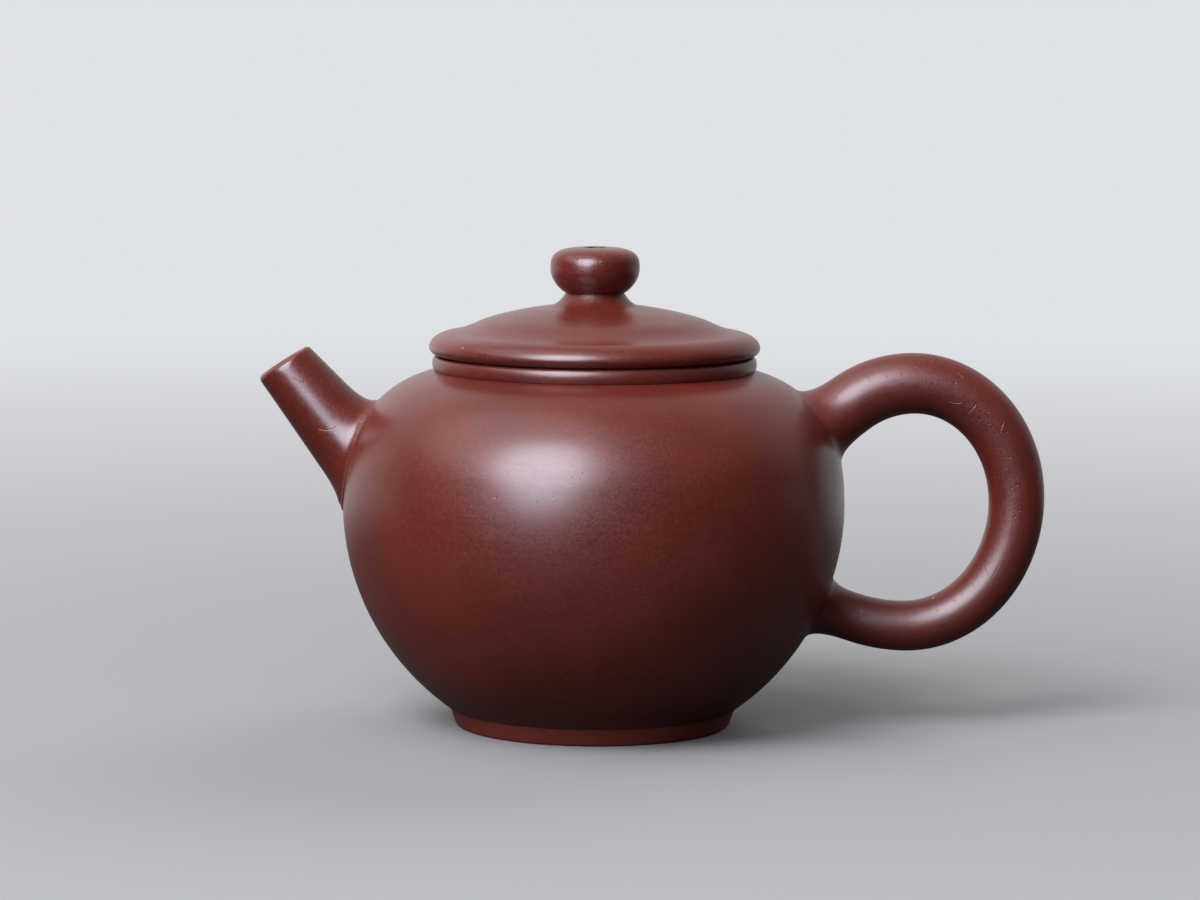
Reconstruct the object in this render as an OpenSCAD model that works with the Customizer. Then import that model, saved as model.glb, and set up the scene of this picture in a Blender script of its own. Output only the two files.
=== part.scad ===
// Round clay teapot with a ring handle, a short straight spout and a loose lid that rests on the neck.
// It is built as a potter builds it: slabs, rings and rolls of clay, luted together before firing.
// The pot's axis is Z and the table is z = 0. The spout points along -X and the handle along +X.

/* [Body] */
// Outer diameter of the belly
body_d = 77; // [66:0.5:90]
// Thickness of the clay in the wall and the top disc
wall_t = 2.6; // [2:0.1:3.6]
// Radius of the curve that turns the belly into the shoulder
shoulder_r = 16.9; // [14:0.1:20]
// Angle above the belly's middle at which the shoulder curve starts
shoulder_start = 9.5; // [5:0.5:16]
// Slope of the shoulder around the mouth
shoulder_slope = 19; // [12:0.5:24]
// Slope of the shoulder where the top disc is luted to the wall
top_disc_slope = 40; // [34:0.5:46]

/* [Foot] */
// Outer diameter of the foot ring where it meets the belly
foot_d = 44; // [38:0.5:50]
// Height of the foot ring at its outer edge
foot_h = 2.7; // [2.2:0.1:4]
// How far the foot ring draws in towards the table
foot_taper = 0.9; // [0:0.1:1.5]
// Width of the foot ring on the table
foot_w = 3.2; // [2.4:0.1:4.5]
// How far the base is raised off the table inside the foot ring
base_recess = 1.6; // [1:0.1:1.9]
// Thickness of the base
base_t = 2.8; // [2:0.1:4]

/* [Neck and mouth] */
// Outer diameter of the neck ring
neck_d = 49.7; // [47:0.1:52]
// Height of the neck ring at its outer edge
neck_h = 2.4; // [1.8:0.1:3.4]
// Width of the neck ring, from the mouth to its outer edge
neck_w = 3.9; // [3:0.1:5]
// Depth of the rounding on the neck ring's outer edge
neck_bulge = 0.9; // [0.4:0.1:1.2]

/* [Spout] */
// Outer diameter of the spout at its lip
spout_tip_d = 9; // [8:0.1:11]
// Growth of the spout's radius per millimetre towards the body
spout_taper = 0.09; // [0.05:0.005:0.13]
// Length of the spout's axis, from the belly to the lip
spout_len = 16.1; // [12:0.1:22]
// Angle of the spout above the horizontal
spout_tilt = 50.3; // [42:0.1:58]
// Angle above the belly's middle at which the spout's axis leaves it
spout_root_angle = 13.6; // [6:0.1:18]
// Angle by which the lip is cut more level than square to the spout
lip_tilt = 6; // [0:0.5:8]
// Bore of the spout at its lip
spout_bore_d = 6; // [5:0.1:7]
// Length of the straight bore behind the lip
spout_bore_len = 10; // [7:0.5:12]
// Width of the channel where it leaves the body
channel_d = 10; // [8:0.1:11]
// Length over which the channel widens from the bore
channel_widening = 7; // [5:0.5:10]
// Clay worked out around the root of the spout on its upper side
spout_flare_top = 1.4; // [0.6:0.1:2]
// Clay worked out around the root of the spout on its lower side
spout_flare_low = 0.8; // [0.2:0.1:1.5]
// Length over which the spout's root widens
spout_flare_len = 6.5; // [3:0.5:9]

/* [Strainer] */
// Outer diameter of the dome that strains the leaves
strainer_d = 16; // [15:0.5:18]
// Thickness of the dome
strainer_t = 1.4; // [1:0.1:1.8]
// Distance of the dome's middle inside the wall
strainer_set = 0.6; // [0:0.1:1.2]
// Diameter of each hole in the dome
strainer_hole_d = 1.7; // [1.2:0.1:2]

/* [Handle] */
// Distance from the belly to the middle of the handle's clay at its furthest
handle_stand = 26.4; // [22:0.1:30]
// Height of the handle's highest middle point above the belly's middle
handle_rise = 18.6; // [15:0.1:20]
// Depth of the handle's lowest middle point below the belly's middle
handle_drop = 18.9; // [15:0.1:20]
// Height of the handle's furthest point above the belly's middle
handle_furthest = 0.6; // [-2:0.1:4]
// Distance from the belly to the handle's highest point
handle_crest = 10.5; // [8:0.1:13]
// Distance from the belly to the handle's lowest point
handle_trough = 9.5; // [7:0.1:13]
// Slope of the upper arm where it meets the body
upper_arm_slope = 36; // [25:1:45]
// Slope of the lower arm where it meets the body
lower_arm_slope = 17; // [8:1:28]
// Radius of the upper arm's bend
upper_arm_r = 16.2; // [14:0.1:20]
// Radius of the lower arm's bend
lower_arm_r = 25; // [20:0.5:32]
// Thickness of the handle at its upper root
handle_top_d = 9.6; // [8:0.1:11]
// Thickness of the handle at its lower root
handle_low_d = 7.5; // [6.5:0.1:9]
// Clay worked out around the handle's two roots
handle_flare = 1.5; // [0.5:0.1:2.5]
// Length over which a handle root widens
handle_flare_len = 5; // [3:0.5:7]

/* [Lid] */
// How far the lid's rim stands out past the neck ring
lid_overhang = 0.5; // [0:0.1:1.5]
// Height of the rim at the foot of the dome
rim_h = 3.6; // [3:0.1:5]
// Width of the rim, from the dome to the rim's outer edge
rim_w = 4.7; // [4:0.1:6]
// Height of the rim's widest line above the neck
rim_waist = 1.65; // [1.2:0.05:2]
// Width of the rim's rounding on its upper side
rim_round = 3.4; // [2:0.1:3.7]
// Width of the rim's rounding on its under side
rim_under = 1.9; // [1:0.1:3]
// Height of the small cove between the dome and the rim
rim_cove = 0.6; // [0.2:0.05:0.8]
// Width of the cove
rim_cove_w = 1.2; // [0.6:0.1:1.3]
// Rise of the dome above its own edge
dome_rise = 3.8; // [2.5:0.1:6]
// Thickness of the lid's dome
lid_t = 2.2; // [1.8:0.1:3]
// Depth of the flange that reaches into the mouth
flange_h = 8; // [5:0.5:12]
// Thickness of the flange
flange_t = 2.2; // [1.6:0.1:3]
// Play between the flange and the mouth
flange_gap = 0.3; // [0.2:0.05:0.5]

/* [Knob] */
// Diameter of the knob
knob_d = 13.7; // [11:0.1:17]
// Height of the knob
knob_h = 7; // [5:0.1:9]
// Height of the knob's widest line above the stem
knob_waist = 3.7; // [2.5:0.1:4.5]
// Diameter of the stem's waist under the knob
stem_d = 9; // [7:0.1:11]
// Diameter of the stem where it spreads on the dome
stem_foot_d = 13; // [11:0.1:16]
// Height of the stem from the top of the dome to the knob
stem_h = 1.6; // [1.2:0.1:3]
// Thickness of the stem's edge on the dome
stem_lip = 0.3; // [0.2:0.05:0.5]
// Diameter of the air hole
air_hole_d = 2.6; // [1.8:0.1:3.2]
// Diameter of the air hole's flared mouth
air_mouth_d = 3.4; // [3.4:0.1:4.6]

/* [Hidden] */
$fn = 96;
dome_fn = 480;

clay = "#7a3328";
clay_dark = "#6b2a22";
far = 200;

function polar(angle) = [cos(angle), sin(angle)];

// Points on an ellipse, from one angle to another
function curve(centre, radii, from, to, steps) =
    [for (i = [0:steps]) let (a = from + (to - from) * i / steps)
        centre + [radii[0] * cos(a), radii[1] * sin(a)]];

// A curve without its first point, to go on from the curve before
function onward(points) = [for (i = [1:len(points) - 1]) points[i]];

// Body: a ball on the foot, rounded into a sloping shoulder
belly_r = body_d / 2;
foot_r = foot_d / 2;
belly_z = foot_h + sqrt(belly_r ^ 2 - foot_r ^ 2);
belly_centre = [0, belly_z];
shoulder_centre = belly_centre + (belly_r - shoulder_r) * polar(shoulder_start);
slope_normal = 90 - shoulder_slope;
function shoulder_point(angle, inset = 0) = shoulder_centre + (shoulder_r - inset) * polar(angle);
function shoulder_top_z(r) =
    shoulder_point(slope_normal)[1] + (shoulder_point(slope_normal)[0] - r) * tan(shoulder_slope);
top_disc_z = shoulder_point(90 - top_disc_slope)[1];
base_top_z = base_recess + base_t;

// Distance of a point outside the body's surface, from its radius and height
function body_gap(r, z) =
    let (above_belly = atan2(z - belly_z, r), from_shoulder = [r, z] - shoulder_centre,
         above_shoulder = atan2(from_shoulder[1], from_shoulder[0]))
    above_belly < shoulder_start ? norm([r, z] - belly_centre) - belly_r
    : above_shoulder < slope_normal ? norm(from_shoulder) - shoulder_r
    : from_shoulder * polar(slope_normal) - shoulder_r;

// Neck, mouth and the plane that the lid rests on
neck_r = neck_d / 2;
mouth_r = neck_r - neck_w;
neck_low_z = shoulder_top_z(neck_r);
seat_z = neck_low_z + neck_h;

// Lid, from the neck up
lid_r = neck_r + lid_overhang;
flange_r = mouth_r - flange_gap;
flange_inner_r = flange_r - flange_t;
dome_r = lid_r - rim_w;
rim_top_z = seat_z + rim_h;
dome_edge_z = rim_top_z + rim_cove;
shelf_z = dome_edge_z - lid_t;
dome_top_z = dome_edge_z + dome_rise;
dome_curve_r = (dome_r ^ 2 + dome_rise ^ 2) / (2 * dome_rise);
dome_centre_z = dome_top_z - dome_curve_r;
knob_low_z = dome_top_z + stem_h;
knob_mid_z = knob_low_z + knob_waist;

// Spout: its axis runs from the lip into the body, in the plane y = 0
spout_out = [-cos(spout_tilt), 0, sin(spout_tilt)];
spout_side = [sin(spout_tilt), 0, cos(spout_tilt)];
spout_root = [-belly_r * cos(spout_root_angle), 0, belly_z + belly_r * sin(spout_root_angle)];
spout_tip = spout_root + spout_len * spout_out;
spout_sides = 40;
spout_rings = 14;
spout_bite = 3;
channel_start = spout_bore_len + channel_widening;

// Strainer: a dome over the inner end of the channel
strainer_r = strainer_d / 2;
strainer_centre = spout_root - (wall_t + strainer_set) * spout_out;
strainer_rows = [[0, 1], [26, 6], [52, 12]];

// Handle: a loop of four curves that share their tangents, with a straight arm at each end
crest = [belly_r + handle_crest, belly_z + handle_rise];
furthest = [belly_r + handle_stand, belly_z + handle_furthest];
trough = [belly_r + handle_trough, belly_z - handle_drop];
handle_bite = 3.5;
handle_steps = 11;
bend_steps = 7;
handle_sides = 24;

// An arm runs on from the end of its bend, along its slope, to just inside the body
function arm(start, slope) =
    let (run = body_gap(start[0], start[1]) + handle_bite)
    [for (i = [0:handle_steps]) start - run * i / handle_steps * polar(slope)];
function backward(points) = [for (i = [len(points) - 1:-1:0]) points[i]];

upper_bend = curve(crest - [0, upper_arm_r], [upper_arm_r, upper_arm_r],
                   90, 90 + upper_arm_slope, bend_steps);
lower_bend = curve(trough + [0, lower_arm_r], [lower_arm_r, lower_arm_r],
                   -90, -90 - lower_arm_slope, bend_steps);
upper_loop = curve([crest[0], furthest[1]], [furthest[0] - crest[0], crest[1] - furthest[1]],
                   90, 0, handle_steps);
lower_loop = curve([trough[0], furthest[1]], [furthest[0] - trough[0], furthest[1] - trough[1]],
                   0, -90, handle_steps);
upper_arm = arm(upper_bend[bend_steps], upper_arm_slope);
lower_arm = arm(lower_bend[bend_steps], -lower_arm_slope);
handle_path = concat(backward(onward(upper_arm)), backward(upper_bend), onward(upper_loop),
                     onward(lower_loop), onward(lower_bend), onward(lower_arm));

// Half section of the body, drawn in by inset from its outer surface
module body_section(inset = 0) {
    belly = belly_r - inset;
    shoulder = shoulder_r - inset;
    slope_start = shoulder_point(slope_normal, inset);
    polygon(concat(
        [[0, belly_z - belly]],
        curve(belly_centre, [belly, belly], -87, shoulder_start, 32),
        onward(curve(shoulder_centre, [shoulder, shoulder], shoulder_start, slope_normal, 20)),
        [[0, slope_start[1] + slope_start[0] * tan(shoulder_slope)]]));
}

// The part of a half section between two heights
module between(low, high) {
    intersection() {
        children();
        translate([0, low]) square([far, high - low]);
    }
}

module body_shell() {
    difference() {
        body_section();
        body_section(wall_t);
    }
}

module body_solid() {
    rotate_extrude() between(base_recess, far) body_section();
}

// Turns +Z to point out of the spout's lip, with the lip at the origin
module at_spout() {
    translate(spout_tip) rotate([0, spout_tilt - 90, 0]) children();
}

// The way that the tea takes: straight behind the lip, then widening into the body
module channel() {
    bore_r = spout_bore_d / 2;
    inlet_r = channel_d / 2;
    at_spout() rotate_extrude() polygon([
        [0, spout_tip_d], [bore_r, spout_tip_d], [bore_r, -spout_bore_len], [inlet_r, -channel_start],
        [inlet_r, -channel_start - strainer_d], [0, -channel_start - strainer_d]]);
}

// The half section of the body's shell between two heights, open at the mouth
module open_shell(low, high) {
    difference() {
        between(low, high) body_shell();
        translate([0, belly_z]) square([mouth_r, far]);
    }
}

module body_wall() {
    color(clay) difference() {
        rotate_extrude() open_shell(base_top_z, top_disc_z);
        channel();
    }
}

module shoulder_disc() {
    color(clay) difference() {
        rotate_extrude() open_shell(top_disc_z, far);
        channel();
    }
}

module base_disc() {
    color(clay) rotate_extrude() between(base_recess, base_top_z) body_section();
}

// The ring's outer side runs on up into the belly, which cuts it off
module foot_ring() {
    table_r = foot_r - foot_taper;
    color(clay_dark) rotate_extrude() difference() {
        polygon([[table_r - foot_w, 0], [table_r, 0],
                 [foot_r + foot_taper, 2 * foot_h], [table_r - foot_w, 2 * foot_h]]);
        between(base_recess, far) body_section();
    }
}

module neck_ring() {
    half_h = neck_h / 2;
    color(clay_dark) rotate_extrude() difference() {
        polygon(concat(
            [[mouth_r, neck_low_z - half_h], [neck_r - neck_bulge, neck_low_z - half_h]],
            curve([neck_r - neck_bulge, seat_z - half_h], [neck_bulge, half_h], -90, 90, 16),
            [[mouth_r, seat_z]]));
        body_section();
    }
}

// Point on the outside of the spout: along the axis from the lip, and round it from the upper side
function spout_r(along) = spout_tip_d / 2 + spout_taper * along;
function spout_point(along, angle, r) =
    spout_tip - along * spout_out + r * (cos(angle) * spout_side - [0, sin(angle), 0]);
function spout_gap(along, angle) =
    let (p = spout_point(along, angle, spout_r(along))) body_gap(norm([p[0], p[1]]), p[2]);

// Distance from the lip to the body down the spout's side, by halving
function spout_side_len(angle, low = 0, high = 2 * spout_len, turns = 24) =
    turns == 0 ? (low + high) / 2
    : let (middle = (low + high) / 2)
      spout_gap(middle, angle) > 0 ? spout_side_len(angle, middle, high, turns - 1)
      : spout_side_len(angle, low, middle, turns - 1);

function spout_ring_point(share, angle) =
    let (side_len = spout_side_len(angle), full = side_len + spout_bite,
         lip = tan(lip_tilt) * cos(angle) * spout_tip_d / 2,
         along = lip + (full - lip) * share,
         near_root = max(0, 1 - (side_len - along) / spout_flare_len),
         upper = (1 + cos(angle)) / 2,
         flare = spout_flare_low + (spout_flare_top - spout_flare_low) * upper)
    spout_point(along, angle, spout_r(along) + flare * min(near_root, 1) ^ 3);

// Skin of a tube whose rings all have the same number of points, closed at both ends
module skin(rings) {
    count = len(rings);
    sides = len(rings[0]);
    points = concat([for (ring = rings) each ring], [average(rings[0]), average(rings[count - 1])]);
    walls = [for (i = [0:count - 2], j = [0:sides - 1])
        let (a = i * sides + j, b = i * sides + (j + 1) % sides) each
            [[a, b, a + sides], [b, b + sides, a + sides]]];
    caps = [for (j = [0:sides - 1]) let (k = (j + 1) % sides, last = (count - 1) * sides) each
        [[k, j, count * sides], [last + j, last + k, count * sides + 1]]];
    polyhedron(points, concat(walls, caps));
}

function average(points) =
    let (ones = [for (p = points) 1])
    [for (axis = [0:2]) [for (p = points) p[axis]] * ones / len(points)];

module spout() {
    color(clay) difference() {
        skin([for (i = [0:spout_rings]) [for (j = [0:spout_sides - 1])
            spout_ring_point(i / spout_rings, 360 * j / spout_sides)]]);
        body_solid();
        channel();
    }
}

module strainer() {
    inward = spout_root_angle + 90;
    color(clay_dark) intersection() {
        translate(strainer_centre) difference() {
            sphere(strainer_r);
            sphere(strainer_r - strainer_t);
            rotate([0, inward, 0]) for (row = strainer_rows, i = [0:row[1] - 1])
                rotate([0, 0, 360 * i / row[1]]) rotate([0, row[0], 0])
                    translate([0, 0, strainer_r - 2 * strainer_t])
                        cylinder(h = 3 * strainer_t, d = strainer_hole_d);
        }
        rotate_extrude() between(base_top_z, far) body_section(wall_t);
    }
}

// Point on the handle: thinner from the upper root to the lower one, and worked out near the body
function handle_point(share, middle, across, angle) =
    let (r = (handle_top_d + (handle_low_d - handle_top_d) * share) / 2,
         reach = across * cos(angle), outward = [reach[0], sin(angle), reach[1]],
         start = [middle[0], 0, middle[1]], plain = start + r * outward,
         gap = max(0, body_gap(norm([plain[0], plain[1]]), plain[2])),
         near_root = max(0, 1 - gap / handle_flare_len))
    start + (r + handle_flare * near_root ^ 3) * outward;

module handle() {
    last = len(handle_path) - 1;
    rings = [for (i = [0:last])
        let (step = handle_path[min(i + 1, last)] - handle_path[max(i - 1, 0)],
             across = [step[1], -step[0]] / norm(step))
        [for (j = [0:handle_sides - 1])
            handle_point(i / last, handle_path[i], across, 360 * j / handle_sides)]];
    color(clay) difference() {
        skin(rings);
        body_solid();
    }
}

module air_hole() {
    translate([0, 0, shelf_z - lid_t]) cylinder(h = far, d = air_hole_d);
}

module lid_flange() {
    color(clay_dark) rotate_extrude()
        translate([flange_inner_r, seat_z - flange_h]) square([flange_t, flange_h]);
}

module lid_rim() {
    waist_z = seat_z + rim_waist;
    color(clay) rotate_extrude() polygon(concat(
        [[flange_inner_r, seat_z]],
        curve([lid_r - rim_under, waist_z], [rim_under, rim_waist], -90, 0, 12),
        curve([lid_r - rim_round, waist_z], [rim_round, rim_h - rim_waist], 5, 90, 14),
        curve([dome_r + rim_cove_w, dome_edge_z], [rim_cove_w, rim_cove], -90, -180, 6),
        [[dome_r, shelf_z], [flange_inner_r, shelf_z]]));
}

module lid_disc() {
    color(clay) difference() {
        rotate_extrude() difference() {
            between(shelf_z, far) intersection() {
                translate([0, dome_centre_z]) circle(dome_curve_r, $fn = dome_fn);
                translate([0, shelf_z]) square([dome_r, far]);
            }
            between(shelf_z - lid_t, far) intersection() {
                translate([0, dome_centre_z - lid_t]) circle(dome_curve_r, $fn = dome_fn);
                translate([0, shelf_z - lid_t]) square([flange_inner_r, far]);
            }
        }
        air_hole();
    }
}

module knob_stem() {
    waist_r = stem_d / 2;
    spread = stem_foot_d / 2 - waist_r;
    foot_z = dome_centre_z + sqrt(dome_curve_r ^ 2 - (stem_foot_d / 2) ^ 2);
    lip_z = foot_z + stem_lip;
    color(clay) difference() {
        rotate_extrude() difference() {
            polygon(concat([[0, foot_z - stem_lip], [waist_r + spread, foot_z - stem_lip]],
                curve([waist_r + spread, knob_low_z], [spread, knob_low_z - lip_z], -90, -180, 10),
                [[0, knob_low_z]]));
            translate([0, dome_centre_z]) circle(dome_curve_r, $fn = dome_fn);
        }
        air_hole();
    }
}

// Half outline of the knob: full at the top and drawn in towards the stem
function knob_outline() =
    let (r = knob_d / 2, up = knob_h - knob_waist, down = knob_waist)
    concat([for (i = [0:16]) let (a = 90 * i / 16) [r * sin(a) ^ 0.61, knob_mid_z + up * cos(a) ^ 0.61]],
           [for (i = [1:10]) let (a = 90 * i / 10)
               [stem_d / 2 + (r - stem_d / 2) * cos(a) ^ 1.7, knob_mid_z - down * sin(a)]]);

module knob() {
    mouth_depth = air_mouth_d - air_hole_d;
    color(clay) difference() {
        rotate_extrude() polygon(concat(knob_outline(), [[0, knob_low_z]]));
        air_hole();
        translate([0, 0, knob_low_z + knob_h - mouth_depth])
            cylinder(h = 2 * mouth_depth, d1 = air_hole_d, d2 = 2 * air_mouth_d - air_hole_d);
    }
}

body_wall();
shoulder_disc();
base_disc();
foot_ring();
neck_ring();
spout();
strainer();
handle();
lid_flange();
lid_rim();
lid_disc();
knob_stem();
knob();
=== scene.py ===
import bisect
import math

import bmesh
import bpy
from mathutils import Matrix, Vector, noise


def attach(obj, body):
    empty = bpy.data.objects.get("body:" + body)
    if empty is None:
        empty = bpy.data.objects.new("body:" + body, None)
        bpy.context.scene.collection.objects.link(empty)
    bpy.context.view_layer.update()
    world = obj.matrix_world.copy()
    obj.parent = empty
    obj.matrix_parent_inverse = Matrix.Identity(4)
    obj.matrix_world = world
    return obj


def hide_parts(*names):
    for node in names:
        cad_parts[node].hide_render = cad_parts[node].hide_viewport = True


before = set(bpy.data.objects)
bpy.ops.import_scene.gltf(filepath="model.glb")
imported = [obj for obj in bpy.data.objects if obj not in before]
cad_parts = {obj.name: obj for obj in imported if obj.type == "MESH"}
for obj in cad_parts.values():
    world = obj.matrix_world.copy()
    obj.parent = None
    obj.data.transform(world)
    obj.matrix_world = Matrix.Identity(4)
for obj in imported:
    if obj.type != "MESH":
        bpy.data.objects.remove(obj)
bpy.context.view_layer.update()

# Belly
# A strip of red-brown stoneware clay, beaten round over the hand until it closes in at the top and
# the bottom. A round hole is cut on the left for the spout. Outside it is burnished with a horn
# spatula, and inside it is left as the ribs scraped it.
mm = 0.001
belly_r = 38.5
belly_z = 34.295
wall = 2.6
shoulder_r = 16.9
shoulder_from = 9.5
shoulder_to = 71.0
joint_at = 50.0
base_top = 4.4
shoulder_mid = (
    (belly_r - shoulder_r) * math.cos(math.radians(shoulder_from)),
    belly_z + (belly_r - shoulder_r) * math.sin(math.radians(shoulder_from)),
)
turn_steps = 240


def start_outline(bm, r, z):
    """The first point of an outline, at a radius and a height in millimetres."""
    return bm.verts.new((r * mm, 0, z * mm))


def line_to(bm, last, r, z):
    """Carries an outline straight on to a new point."""
    new = bmesh.ops.extrude_vert_indiv(bm, verts=[last])["verts"][0]
    new.co = (r * mm, 0, z * mm)
    return new


def arc_by(bm, last, centre, degrees, steps):
    """Carries an outline on round a centre, upwards for positive degrees."""
    made = bmesh.ops.spin(
        bm, geom=[last], cent=(centre[0] * mm, 0, centre[1] * mm), axis=(0, -1, 0),
        angle=math.radians(degrees), steps=steps,
    )
    return next(g for g in made["geom_last"] if isinstance(g, bmesh.types.BMVert))


def oval_by(bm, last, centre, radii, first, end, steps, flatness=1.0):
    """Carries an outline on round part of an oval. A flatness below 1 presses its side flat."""
    for step in range(1, steps + 1):
        angle = math.radians(first + (end - first) * step / steps)
        out = max(0.0, math.cos(angle)) ** flatness
        last = line_to(bm, last, centre[0] + radii[0] * out, centre[1] + radii[1] * math.sin(angle))
    return last


def height_angle(z, centre_z, r):
    """The angle at which a round wall reaches a height."""
    return math.degrees(math.asin((z - centre_z) / r))


def turn(bm, steps=turn_steps):
    """Spins an outline once round the pot's axis and faces it outwards."""
    bmesh.ops.spin(
        bm, geom=bm.verts[:] + bm.edges[:], cent=(0, 0, 0), axis=(0, 0, 1), angle=math.tau,
        steps=steps, use_merge=True,
    )
    bmesh.ops.remove_doubles(bm, verts=bm.verts[:], dist=1e-7)
    bmesh.ops.recalc_face_normals(bm, faces=bm.faces[:])


def to_belly(co):
    """How far a point is outside the body's outer surface, in millimetres, and which way is out."""
    r, z = math.hypot(co[0], co[1]) / mm, co[2] / mm
    centre, size = (0.0, belly_z), belly_r
    if math.degrees(math.atan2(z - belly_z, r)) > shoulder_from:
        centre, size = shoulder_mid, shoulder_r
    across, up = r - centre[0], z - centre[1]
    lean = min(math.atan2(up, across), math.radians(shoulder_to))
    flat = math.cos(lean) / max(r * mm, 1e-9)
    out = Vector((co[0] * flat, co[1] * flat, math.sin(lean)))
    return across * math.cos(lean) + up * math.sin(lean) - size, out


def belly_gap(co):
    """How far a point is outside the body, in millimetres."""
    return to_belly(co)[0]


def work_by_hand(bm, depth=0.09, spread=19.0, fades_over=0.0):
    """Draws the clay in a little here and there, as paddling and scraping leave it. On a piece that
    is luted to the body it fades with the distance from it."""
    for v in bm.verts:
        share = max(0.0, 1 - max(0.0, belly_gap(v.co)) / fades_over) if fades_over else 1.0
        push = 0.5 + 0.5 * noise.noise(v.co / (spread * mm))
        aside = Vector((v.co.x, v.co.y, 0))
        if aside.length > mm:
            v.co -= aside.normalized() * (share * push * depth * mm)


def pierce(bm, cutter):
    """Cuts one shape out of another and returns what is left."""
    pair = []
    for shape in (bm, cutter):
        mesh = bpy.data.meshes.new("cut")
        shape.to_mesh(mesh)
        shape.free()
        pair.append(bpy.data.objects.new("cut", mesh))
        bpy.context.scene.collection.objects.link(pair[-1])
    blade = pair[0].modifiers.new("cut", "BOOLEAN")
    blade.operation, blade.solver, blade.object = "DIFFERENCE", "EXACT", pair[1]
    ready = pair[0].evaluated_get(bpy.context.evaluated_depsgraph_get())
    left = bmesh.new()
    left.from_mesh(ready.to_mesh())
    ready.to_mesh_clear()
    for half in pair:
        bpy.data.meshes.remove(half.data)
    return left


def nowhere(co):
    """No part of a piece."""
    return 0.0


def fire(bm, name, clay, body, node, raw=nowhere, hole_shade=nowhere):
    """Makes the shaped clay a piece of the pot. Marks how far each point stands out as an edge that
    hands have worn, where the clay was left raw and where the holes get painted shade."""
    for mark in ("worn", "raw", "hole_shade"):
        bm.verts.layers.float.new(mark)
    layers = bm.verts.layers.float
    bm.normal_update()
    worn_from, crisp_from = 0.35, math.radians(34)
    for v in bm.verts:
        arms = [e.other_vert(v).co - v.co for e in v.link_edges]
        bow = [-2 * arm.dot(v.normal) / max(arm.length_squared, 1e-12) for arm in arms]
        v[layers["worn"]] = min(1.0, max(0.0, max(bow) * mm - worn_from))
        v[layers["raw"]] = raw(v.co)
        v[layers["hole_shade"]] = hole_shade(v.co)
    for face in bm.faces:
        face.smooth = True
    for edge in bm.edges:
        if edge.is_manifold and edge.calc_face_angle() > crisp_from:
            edge.smooth = False
    mesh = bpy.data.meshes.new(name)
    bm.to_mesh(mesh)
    bm.free()
    mesh.materials.append(clay)
    piece = bpy.data.objects.new(name, mesh)
    bpy.context.scene.collection.objects.link(piece)
    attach(piece, body)
    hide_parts(node)
    return piece


def add(tree, kind, plugs=(), **settings):
    """A shader node with its settings, and with its sockets set or linked."""
    made = tree.nodes.new(kind)
    for name, value in settings.items():
        setattr(made, name, value)
    for name, value in dict(plugs).items():
        if isinstance(value, bpy.types.NodeSocket):
            tree.links.new(value, made.inputs[name])
        else:
            made.inputs[name].default_value = value
    return made


def ramp(tree, value, low, high, low_out=0.0, high_out=1.0):
    """Spreads a value smoothly between two limits."""
    made = add(
        tree, "ShaderNodeMapRange", interpolation_type="SMOOTHSTEP",
        plugs={"Value": value, "From Min": low, "From Max": high, "To Min": low_out, "To Max": high_out},
    )
    return made.outputs["Result"]


def sum_up(tree, kind, first, second):
    """Two values put together by a Math node."""
    return add(tree, "ShaderNodeMath", {0: first, 1: second}, operation=kind).outputs[0]


def times(tree, first, second):
    """One value times another."""
    return sum_up(tree, "MULTIPLY", first, second)


def blend(tree, amount, under, over, kind="MIX"):
    """One colour laid over another by an amount."""
    made = add(tree, "ShaderNodeMix", data_type="RGBA", blend_type=kind)
    for socket, value in ((made.inputs[0], amount), (made.inputs[6], under), (made.inputs[7], over)):
        if isinstance(value, bpy.types.NodeSocket):
            tree.links.new(value, socket)
        else:
            socket.default_value = value
    return made.outputs[2]


def start_group(name, inputs, outputs):
    """An empty node group, with its own ends."""
    tree = bpy.data.node_groups.new(name, "ShaderNodeTree")
    for label, kind in inputs:
        tree.interface.new_socket(label, in_out="INPUT", socket_type=kind)
    for label in outputs:
        tree.interface.new_socket(label, in_out="OUTPUT", socket_type="NodeSocketFloat")
    return tree, tree.nodes.new("NodeGroupInput").outputs, tree.nodes.new("NodeGroupOutput")


# Fired grain: sand and mica in the clay, pin holes between them darkened with painted shade, and slow
# clouds of tone.
grain, ends, out = start_group(
    "fired_grain", [("Fineness", "NodeSocketFloat")], ["Tone", "Cloud", "Fleck", "Pore_shade", "Height"]
)
place = add(grain, "ShaderNodeTexCoord").outputs["Object"]
fine = add(
    grain, "ShaderNodeTexNoise",
    {"Vector": place, "Scale": ends["Fineness"], "Detail": 4.0, "Roughness": 0.62},
)
sand = add(grain, "ShaderNodeTexVoronoi", {"Vector": place, "Scale": ends["Fineness"], "Randomness": 1.0})
chance = add(grain, "ShaderNodeSeparateColor", {"Color": sand.outputs["Color"]})
near_sand = ramp(grain, sand.outputs["Distance"], 0.48, 0.2)
pale_sand = times(grain, near_sand, ramp(grain, chance.outputs["Red"], 0.86, 0.93))
hole_scale = times(grain, ends["Fineness"], 0.42)
holes = add(grain, "ShaderNodeTexVoronoi", {"Vector": place, "Scale": hole_scale, "Randomness": 1.0})
hole_chance = add(grain, "ShaderNodeSeparateColor", {"Color": holes.outputs["Color"]})
pin_hole = times(
    grain, ramp(grain, holes.outputs["Distance"], 0.2, 0.07),
    ramp(grain, hole_chance.outputs["Green"], 0.6, 0.7),
)
cloud = add(grain, "ShaderNodeTexNoise", {"Vector": place, "Scale": 62.0, "Detail": 3.0, "Roughness": 0.55})
grain_height = sum_up(grain, "SUBTRACT", times(grain, fine.outputs[0], 0.8), times(grain, pin_hole, 2.0))
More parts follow.
